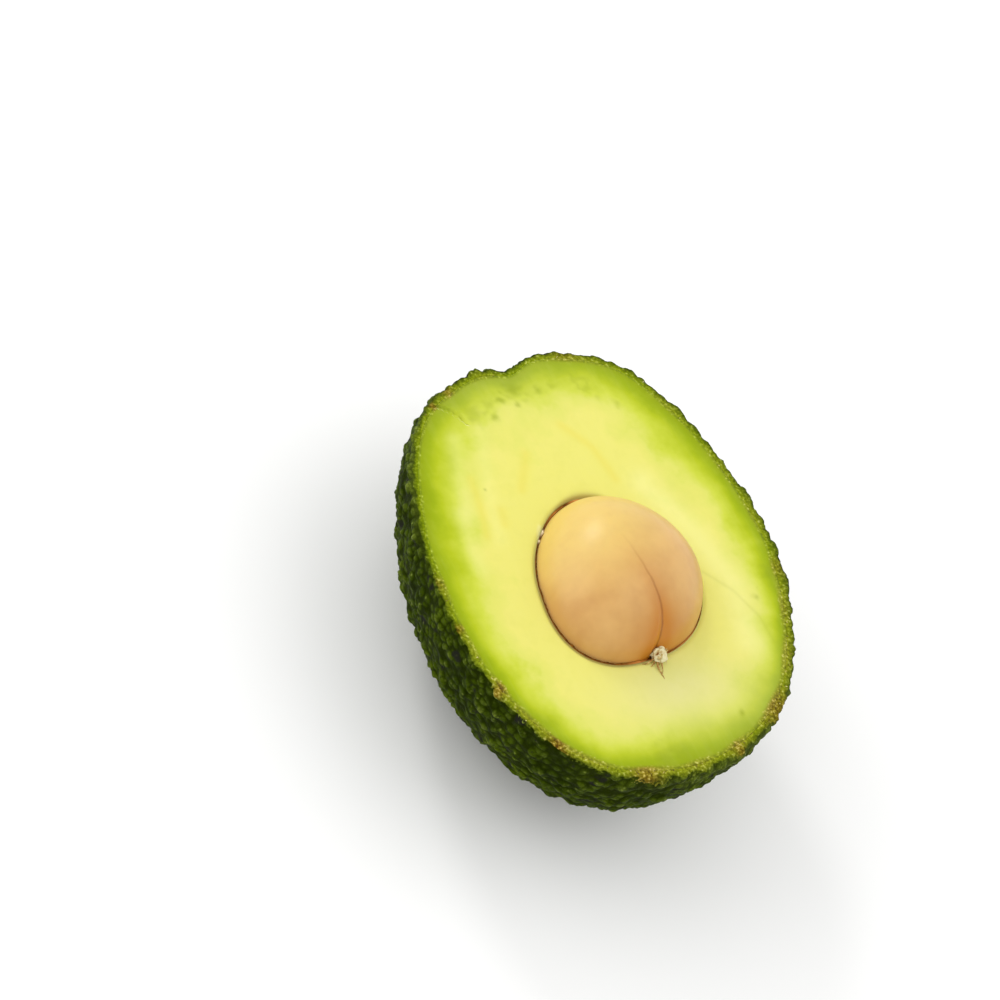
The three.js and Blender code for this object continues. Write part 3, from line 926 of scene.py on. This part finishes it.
def add_flesh():
    """The pulp: up its outside from the bottom, across the cut face and down into the hollow."""
    angles = once_round(FLESH_ROUND)
    outer_edge = fruit(heading(angles), -rind_width(angles) - FLESH_GAP)
    clear = outline(HOLLOW, angles)
    brim = -np.arcsin((CUT_HEIGHT - SEED_MIDDLE[2]) / (SEED_HIGH + clear))
    inner_edge = seed(heading(angles, brim), clear)

    rows = [
        fruit(heading(angles, dip), -rind_width(angles, dip) - FLESH_GAP)
        for dip in np.linspace(math.pi / 2, 0, FLESH_WALL)[1:-1]
    ]
    walls = len(rows)
    # The rings on the face are closer at both of its edges.
    shares = smoothstep(np.linspace(0, 1, FLESH_FACE), -0.6, 1.6)
    shares = (shares - shares[0]) / (shares[-1] - shares[0])
    rows += [outer_edge + (inner_edge - outer_edge) * share for share in shares]
    dips = np.linspace(brim, math.pi / 2, FLESH_WELL)[1:-1]
    rows += [seed(heading(angles, dip), clear) for dip in dips]
    bottom = fruit(DOWN, -RIND - FLESH_GAP)[0]
    well = seed(DOWN, clear.mean())[0]
    points, quads = loft(rows, bottom, well)

    # Only the inner rings of the face have relief. What lies under the rind counts as the rim,
    # and the well as out of its reach.
    face = slice((walls + 1) * FLESH_ROUND, (walls + FLESH_FACE - 1) * FLESH_ROUND)
    on_face = slice(walls * FLESH_ROUND, (walls + FLESH_FACE) * FLESH_ROUND)
    from_rim, to_hollow = np.zeros(len(points)), np.full(len(points), OUT_OF_REACH)
    from_rim[on_face] = from_loop(points[on_face], outer_edge)
    from_rim[on_face.stop:-2] = OUT_OF_REACH
    from_rim[-1] = OUT_OF_REACH
    to_hollow[on_face] = from_loop(points[on_face], inner_edge)
    turn = bearing(points)
    nick, crease = from_line(points, KNIFE_NICK), from_line(points, FINE_CREASE)

    # The knife leaves the face uneven, worn at the hollow, nicked, creased, and torn at the rim.
    torn = share_at(TORN_EDGE, turn)
    relief = 0.08 * lumps(points, 9) - 0.3 * fade(to_hollow, 0.5)
    relief += 0.12 * fade(nick - 0.45, 0.25) - 0.35 * fade(nick, 0.22)
    relief -= 0.04 * fade(crease, 0.4)
    relief += 0.16 * torn * fade(from_rim, 0.9) * lumps(points, 0.6, 3)
    points[face, 2] += relief[face]

    # Round the hollow the flesh is darker, partly a stain from the coat and partly painted shadow at
    # the hollow's edge, more where the gap is wider.
    round_seed = bearing(points - SEED_MIDDLE)
    wide_stain = share_at([WIDE_STAIN_AND_SHADOW], round_seed)
    vein = 0.13 * fade(crease, 0.4)
    uneven = 1 + 0.7 * lumps(points, 1.1, 7)
    for x, y, size, strength in VEIN_DOTS:
        away = np.hypot(points[:, 0] - x, points[:, 1] - y) * uneven
        vein += strength * fade(away, size)
    x, y, size = VEIN_RING
    from_ring = np.hypot(points[:, 0] - x, points[:, 1] - y) * uneven - size
    vein += 0.25 * fade(from_ring, 0.6)
    golden = np.max([fade(from_line(points, line), 1) for line in GOLDEN_STREAKS], axis=0)
    pale = np.zeros(len(points))
    for streak, width, strength in PALE_STREAKS:
        pale += strength * fade(from_line(points, streak), width)
    cream = np.zeros(len(points))
    for x, y, wide, high, strength in CREAM:
        away = np.hypot((points[:, 0] - x) / wide, (points[:, 1] - y) / high)
        cream += strength * fade(away, 1)
    return piece(
        "flesh_cut", points, quads, buttery_flesh(),
        band=from_rim / outline(GREEN_BAND, turn),
        under_rind=fade(from_rim, 0.5 + 0.6 * torn),
        torn=torn,
        toasted=share_at(TOASTED_EDGE, turn),
        vein=np.clip(vein, 0, 1),
        pale=np.clip(pale, 0, 1),
        golden=golden,
        cream=cream,
        stain=np.clip(1.8 * outline(HOLLOW, round_seed) - 0.3 + wide_stain / 2, 0.1, 0.85)
        * fade(to_hollow, 0.3 + wide_stain),
        nick=np.clip(0.5 - nick / 2, 0, 1),
        by_nick=1 - smoothstep(np.abs(nick), 0.3, 1),
    )


# ---- The seed and what lies round it ----

def seam_line(y):
    """Where the seam lies across the seed, at each place along it."""
    across, along = np.transpose(SEAM)
    return np.polyval(np.polyfit(along, across, 4), np.clip(y, along[0] - 2, along[-1]))


def add_seed():
    directions, quads = ball_grid(SEED_GRID)
    smooth = seed(directions, 0)
    aside = smooth[:, 0] - seam_line(smooth[:, 1])
    along = 1 - smoothstep(smooth[:, 1], *SEAM_FADES)
    above = smoothstep(smooth[:, 2], SEED_MIDDLE[2], CUT_HEIGHT)
    width = np.where(aside < 0, *SEAM_WIDTH)
    dip = SEAM_DEPTH * along**2.5 * above * fade(aside, width)
    points = seed(directions, 0.08 * lumps(smooth, 7) - dip)
    from_tip = np.linalg.norm(points - BUTTON_MIDDLE, axis=1)
    glow = 0.75 * along**2 * above * fade(aside + 0.3, 2.6)
    return piece(
        "seed_smooth", points, quads, peeled_seed(),
        aside=aside,
        seam=along * above,
        tip=np.clip(0.8 * fade(from_tip, TIP_GLOW) + glow, 0, 1),
        # Yellower towards the light: partly its own colour, partly painted light.
        crown=smoothstep(directions @ CROWN_AND_LIGHT_FACES, 0.2, 1),
    )


def add_coat():
    """The hollow's lining, ragged along its top, with small flaps that stand up."""
    angles = once_round(COAT_ROUND)
    clear = outline(HOLLOW, angles)
    ring = seed(heading(angles), clear)
    brim = CUT_HEIGHT + COAT_BRIM + 0.2 * lumps(ring, 1.6, 5) + 0.15 * lumps(ring, 0.5, 9)
    marks = {}
    for label, flaps in COAT_FLAPS.items():
        lifts = [share_at([(middle, spread, 1)], angles) for middle, spread, _ in flaps]
        marks[label] = np.max(lifts, axis=0)
        for lift, flap in zip(lifts, flaps):
            brim += flap[2] * lift

    rows, edges = [], []
    steps = 1 - (1 - np.linspace(0, 1, COAT_ROWS)[1:]) ** 2
    for share_out, shares in ((COAT_OUTSIDE, steps), (COAT_INSIDE, steps[::-1])):
        rise = clear * share_out
        top = -np.arcsin((brim - SEED_MIDDLE[2]) / (SEED_HIGH + rise))
        for share in shares:
            rows.append(seed(heading(angles, math.pi / 2 + (top - math.pi / 2) * share), rise))
            edges.append(np.exp(-(brim - rows[-1][:, 2]) / 0.4))
    poles = [seed(DOWN, clear.mean() * share)[0] for share in (COAT_OUTSIDE, COAT_INSIDE)]
    points, quads = loft(rows, *poles)
    edge = np.concatenate([*edges, [0, 0]])
    pale, orange = (np.concatenate([np.tile(marks[k], len(rows)), [0, 0]]) * edge for k in marks)
    return piece("seed_coat_torn", points, quads, papery_coat(), edge=edge, pale=pale, orange=orange)


def add_button():
    directions, quads = ball_grid(BUTTON_GRID)
    crumple = 0.5 * lumps(directions, 0.7, 2) - 0.7 * np.abs(lumps(directions, 0.45, 4))
    swell = (1 + 0.6 * crumple)[:, None]
    points = directions * (BUTTON_WIDE, BUTTON_WIDE, BUTTON_HIGH) * swell + BUTTON_MIDDLE
    # Its creases are tan: partly its own colour, partly painted shade.
    fold = 0.65 + 1.1 * crumple
    return piece("seed_button_crumpled", points, quads, dried_stub(), fold=fold)


def add_button_chips(tree, button):
    """Loose papery scraps that cling to the stub's upper part."""
    base = placed("seed_button_scraps", button.data.copy())
    height = np.array([v.co.z for v in base.data.vertices]) / MM - CUT_HEIGHT
    torn = base.data.attributes.new("torn", "FLOAT", "POINT")
    torn.data.foreach_set("value", smoothstep(height, 0, 0.6).astype(np.float32))
    return grown(base, tree, {**BUTTON_CHIPS, "Material": papery_scrap()})


def add_strands():
    """Frayed fibres, each a thin tapered cord on a smooth curve."""
    parts, quads, used = [], [], 0
    for places, thick in STRANDS:
        spine = np.array(places, float) + (0, 0, CUT_HEIGHT)
        steps = np.linspace(0, len(spine) - 1, STRAND_STEPS)
        path = np.stack([np.interp(steps, np.arange(len(spine)), spine[:, k]) for k in range(3)], -1)
        path[1:-1] = (path[:-2] + 2 * path[1:-1] + path[2:]) / 4
        forward = np.gradient(path, axis=0)
        forward /= np.linalg.norm(forward, axis=1, keepdims=True)
        aside = np.cross(forward, (0, 0, 1))
        aside /= np.linalg.norm(aside, axis=1, keepdims=True)
        over = np.cross(forward, aside)
        around = once_round(STRAND_ROUND)
        radius = thick * np.linspace(1, 0.25, len(path)) * (1 + 0.35 * lumps(path, 0.5, 6))
        rows = [
            middle + thickness * (np.outer(np.sin(around), across) + np.outer(np.cos(around), up))
            for middle, thickness, across, up in zip(path, radius, aside, over)
        ]
        points, faces = loft(rows, path[0], path[-1])
        parts.append(points)
        quads.append(faces + used)
        used += len(points)
    strands = np.concatenate(parts), np.concatenate(quads)
    return piece("seed_button_strands", *strands, frayed_fibre())


def main():
    right, up, back = add_camera()
    add_studio(right, up, back)
    chips = scatter_tree()
    button = add_button()
    made = [
        (add_skin(), "skin"),
        (add_shreds(chips), "skin"),
        (add_flesh(), "flesh"),
        (add_coat(), "seed_coat"),
        (add_seed(), "seed"),
        (button, "seed_button"),
        (add_button_chips(chips, button), "seed_button"),
        (add_strands(), "seed_button"),
    ]
    for part, solid in made:
        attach(part, "root")
        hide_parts(solid)


main()
